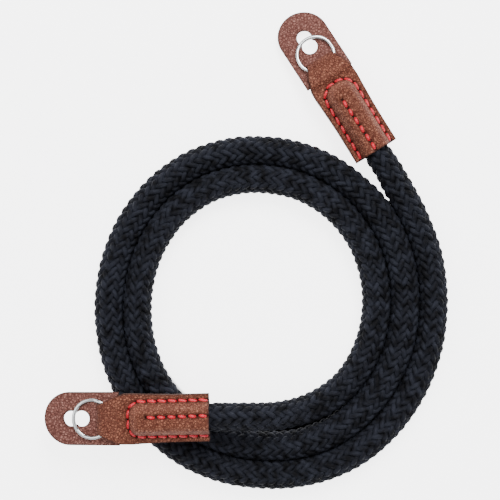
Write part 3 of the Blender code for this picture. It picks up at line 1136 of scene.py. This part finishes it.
@dataclass
class RingPad:
    """The tongue-shaped leather pad under the split ring, with a keyhole for the camera's lug."""

    place: EndFrame
    width: float = 21.6 * MM
    thickness: float = 2.0 * MM
    top: float = -0.2 * MM
    rear: float = 36.4 * MM
    tip: float = 67.8 * MM
    keyhole_rear: float = 52.0 * MM
    keyhole_front: float = 56.4 * MM
    rear_radius: float = 3.2 * MM
    front_radius: float = 3.1 * MM
    edge_width: float = 0.45 * MM
    edge_drop: float = 0.22 * MM
    edge_rounding: float = 0.22 * MM
    spokes: int = 144
    rings: int = 16

    def outline(self, way: Vector, hub: Vector) -> Vector:
        """Where a ray from the hub meets the pad's outline."""
        half = self.width / 2
        front = Vector((self.tip - half, 0))
        reaches = []
        if way.x < 0:
            reaches.append((self.rear - hub.x) / way.x)
        if abs(way.y) > 1e-9:
            reaches.append((math.copysign(half, way.y) - hub.y) / way.y)
        if way.x > 0 and (not reaches or hub.x + way.x * min(reaches) > front.x):
            return hub + way * leave_circle(hub, way, front, half)
        return hub + way * min(reaches)

    def keyhole(self, way: Vector, hub: Vector) -> Vector:
        """Where a ray from the hub leaves the keyhole's two round ends."""
        rear = leave_circle(hub, way, Vector((self.keyhole_rear, 0)), self.rear_radius)
        front = leave_circle(hub, way, Vector((self.keyhole_front, 0)), self.front_radius)
        return hub + way * max(rear, front)

    def build(self, leather: Material, edge: Material) -> None:
        """Makes the pad as rings of faces from the keyhole's rim to its outline.

        Args:
            leather: The face's material.
            edge: The cut edge's material.
        """
        hub = Vector(((self.keyhole_rear + self.keyhole_front) / 2, 0))
        corners = [
            math.atan2(sign * self.width / 2, self.rear - hub.x) % math.tau for sign in (1, -1)
        ]
        angles = [math.tau * i / self.spokes for i in range(self.spokes)]
        for corner in corners:
            nearest = min(range(self.spokes), key=lambda i: abs(angles[i] - corner))
            angles[nearest] = corner
        bm = bmesh.new()
        loops = []
        for shape in (self.keyhole, self.outline):
            verts = []
            for angle in angles:
                spot = shape(Vector((math.cos(angle), math.sin(angle))), hub)
                verts.append(bm.verts.new((spot.x, spot.y, self.top)))
            loops.append([bm.edges.new((a, b)) for a, b in zip(verts, verts[1:] + verts[:1])])
        spokes = bmesh.ops.bridge_loops(bm, edges=loops[0] + loops[1])["edges"]
        bmesh.ops.subdivide_edges(bm, edges=spokes, cuts=self.rings, use_grid_fill=True)
        pressed = bm.verts.layers.float_color.new("pressed")
        for vert in bm.verts:
            ray = Vector((vert.co.x, vert.co.y)) - hub
            way = ray.normalized()
            to_rim = ray.length - (self.keyhole(way, hub) - hub).length
            to_edge = (self.outline(way, hub) - hub).length - ray.length
            near_edge = bump_at(min(to_rim, to_edge), self.edge_width)
            vert.co.z -= self.edge_drop * near_edge
            vert[pressed] = (0.0, 0.0, near_edge, 1.0)
        bmesh.ops.recalc_face_normals(bm, faces=bm.faces)
        if sum(face.normal.z for face in bm.faces) < 0:
            bmesh.ops.reverse_faces(bm, faces=bm.faces)
        self.place.settle_mesh(bm)
        name = f"keyhole_pad_{self.place.side.value}"
        mesh = finish_mesh(bm)
        piece = add_piece(name, mesh, [leather, edge], BODY)
        give_thickness(piece, self.thickness, self.edge_rounding, 3)
        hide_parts(f"ring_pad_{self.place.side.value}")


@dataclass
class SplitRing:
    """The split ring: one flattened wire that runs round twice and steps up once on the way."""

    place: EndFrame
    diameter: float = 16.4 * MM
    wire_width: float = 1.2 * MM
    wire_height: float = 0.6 * MM
    turn_gap: float = 0.05 * MM
    centre: float = 47.5 * MM
    bottom: float = 0.1 * MM
    ramp_degrees: int = 40
    split_degrees: int = 5
    phase: float = math.radians(-57)
    corners: int = 20
    fullness: float = 0.9
    step_degrees: int = 4
    end_rounding: float = 0.08 * MM
    sharp_from: float = 40.0

    def section(self) -> list[tuple[float, float]]:
        """The wire's section at its first end: a drawn wire, rolled to half its width."""
        middle = (self.diameter - self.wire_width) / 2
        points = []
        for i in range(self.corners):
            angle = math.tau * i / self.corners
            x, z = math.cos(angle), math.sin(angle)
            z = math.copysign(abs(z) ** self.fullness, z)
            points.append((middle + x * self.wire_width / 2, z * self.wire_height / 2))
        return points

    def build(self, steel: Material) -> None:
        """Spins the wire round twice, the middle piece rising to the upper turn."""
        climb = self.wire_height + self.turn_gap
        low = -climb / 2
        bm = bmesh.new()
        verts = [bm.verts.new((x, 0, z + low)) for x, z in self.section()]
        front = [bm.edges.new((a, b)) for a, b in zip(verts, verts[1:] + verts[:1])]
        turn = 360 - self.ramp_degrees
        runs = ((turn, 0.0), (self.ramp_degrees, climb), (turn - self.split_degrees, 0.0))
        for degrees, rise in runs:
            steps = math.ceil(degrees / self.step_degrees)
            swept = bmesh.ops.spin(
                bm,
                geom=front,
                cent=(0, 0, 0),
                axis=(0, 0, 1),
                dvec=(0, 0, rise / steps),
                angle=math.radians(degrees),
                steps=steps,
                use_duplicate=False,
            )
            front = [item for item in swept["geom_last"] if isinstance(item, bmesh.types.BMEdge)]
        ends = bmesh.ops.holes_fill(bm, edges=bm.edges, sides=self.corners)["faces"]
        rims = [edge for face in ends for edge in face.edges]
        how = {"segments": 2, "profile": 0.5, "material": -1, "affect": "EDGES"}
        bmesh.ops.bevel(bm, geom=rims, offset=self.end_rounding, **how)
        bmesh.ops.recalc_face_normals(bm, faces=bm.faces)
        height = 2 * self.wire_height + self.turn_gap
        there = Matrix.Translation((self.centre, 0, self.bottom + height / 2))
        turned = there @ Matrix.Rotation(self.phase, 4, "Z")
        bmesh.ops.transform(bm, matrix=turned, verts=bm.verts)
        self.place.settle_mesh(bm)
        side = self.place.side.value
        mesh = finish_mesh(bm, self.sharp_from)
        piece = add_piece(f"key_ring_{side}", mesh, [steel], f"ring_{side}")
        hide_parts(f"split_ring_{side}")


@dataclass(frozen=True)
class Studio:
    """The floor, the lights and the camera, which looks straight down."""

    camera_place: tuple[float, float, float] = (0.01157, -0.01030, 0.400)
    lens: float = 68.37
    sensor: float = 36.0
    aim: tuple[float, float, float] = (0.01, -0.02, 0.0)
    floor_size: float = 6.0
    floor_height: float = -0.12 * MM
    sky_low: float = 0.45
    sky_high: float = 0.95
    sky_at_horizon: float = 0.55
    sky_overhead: float = 1.2

    def build(self, paper: Material) -> None:
        """Makes the floor, the lights and the camera."""
        bm = bmesh.new()
        bmesh.ops.create_grid(bm, x_segments=1, y_segments=1, size=self.floor_size / 2)
        bmesh.ops.translate(bm, verts=bm.verts, vec=(0, 0, self.floor_height))
        floor = put_in_scene("floor", finish_mesh(bm))
        floor.data.materials.append(paper)

        world = bpy.data.worlds.new("studio")
        world.use_nodes = True
        tree = world.node_tree
        sky = tree.nodes["Background"]
        sky.inputs["Color"].default_value = (1.0, 1.0, 1.0, 1.0)
        way = add_node(tree, "SeparateXYZ", {"Vector": add_node(tree, "TexCoord")["Generated"]})
        climb = {"Value": way["Z"], "From Min": self.sky_low, "From Max": self.sky_high}
        power = {"To Min": self.sky_at_horizon, "To Max": self.sky_overhead}
        light = add_node(tree, "MapRange", climb | power, interpolation_type="SMOOTHSTEP")
        tree.links.new(light[0], sky.inputs["Strength"])
        bpy.context.scene.world = world

        self.add_light("key_light", (0.18, 0.55, 0.70), 0.45, 10.0)
        self.add_light("fill_light", (-0.55, 0.05, 0.65), 0.6, 3.0)

        camera = put_in_scene("camera", bpy.data.cameras.new("camera"))
        camera.data.lens = self.lens
        camera.data.sensor_width = self.sensor
        camera.location = self.camera_place
        bpy.context.scene.camera = camera

    def add_light(
        self, name: str, place: tuple[float, float, float], size: float, power: float
    ) -> None:
        """Adds a square soft light that points at the strap.

        Args:
            name: The light's name.
            place: Where it stands.
            size: Its side.
            power: Its power in watts.
        """
        light = bpy.data.lights.new(name, "AREA")
        light.size = size
        light.energy = power
        lamp = put_in_scene(name, light)
        lamp.location = place
        aim = Vector(self.aim) - lamp.location
        lamp.rotation_euler = aim.to_track_quat("-Z", "Y").to_euler()


def main() -> None:
    """Builds the strap's pieces in order, and the studio round them."""
    logging.basicConfig(level=logging.INFO, format="%(message)s")
    route = Route()
    Studio().build(PaleFloor().material())
    Rope(route).build(BraidYarn().material(), RopeCore().material())
    sleeve = GrainedLeather("pebbled_cow_leather", "#633427", "#9B6550", "#421C14").material()
    pad = GrainedLeather(
        "milled_cow_leather", "#683C34", "#9E7066", "#45221C", pebble=1.15 * MM
    ).material()
    edge, thread, steel = CutEdge().material(), WaxedThread().material(), PlatedSteel().material()
    for side in Side:
        place = route.end_frame(side)
        LeatherEnd(place, SEWING[side]).build(sleeve, edge, thread)
        RingPad(place).build(pad, edge)
        SplitRing(place).build(steel)


if __name__ == "__main__":
    main()
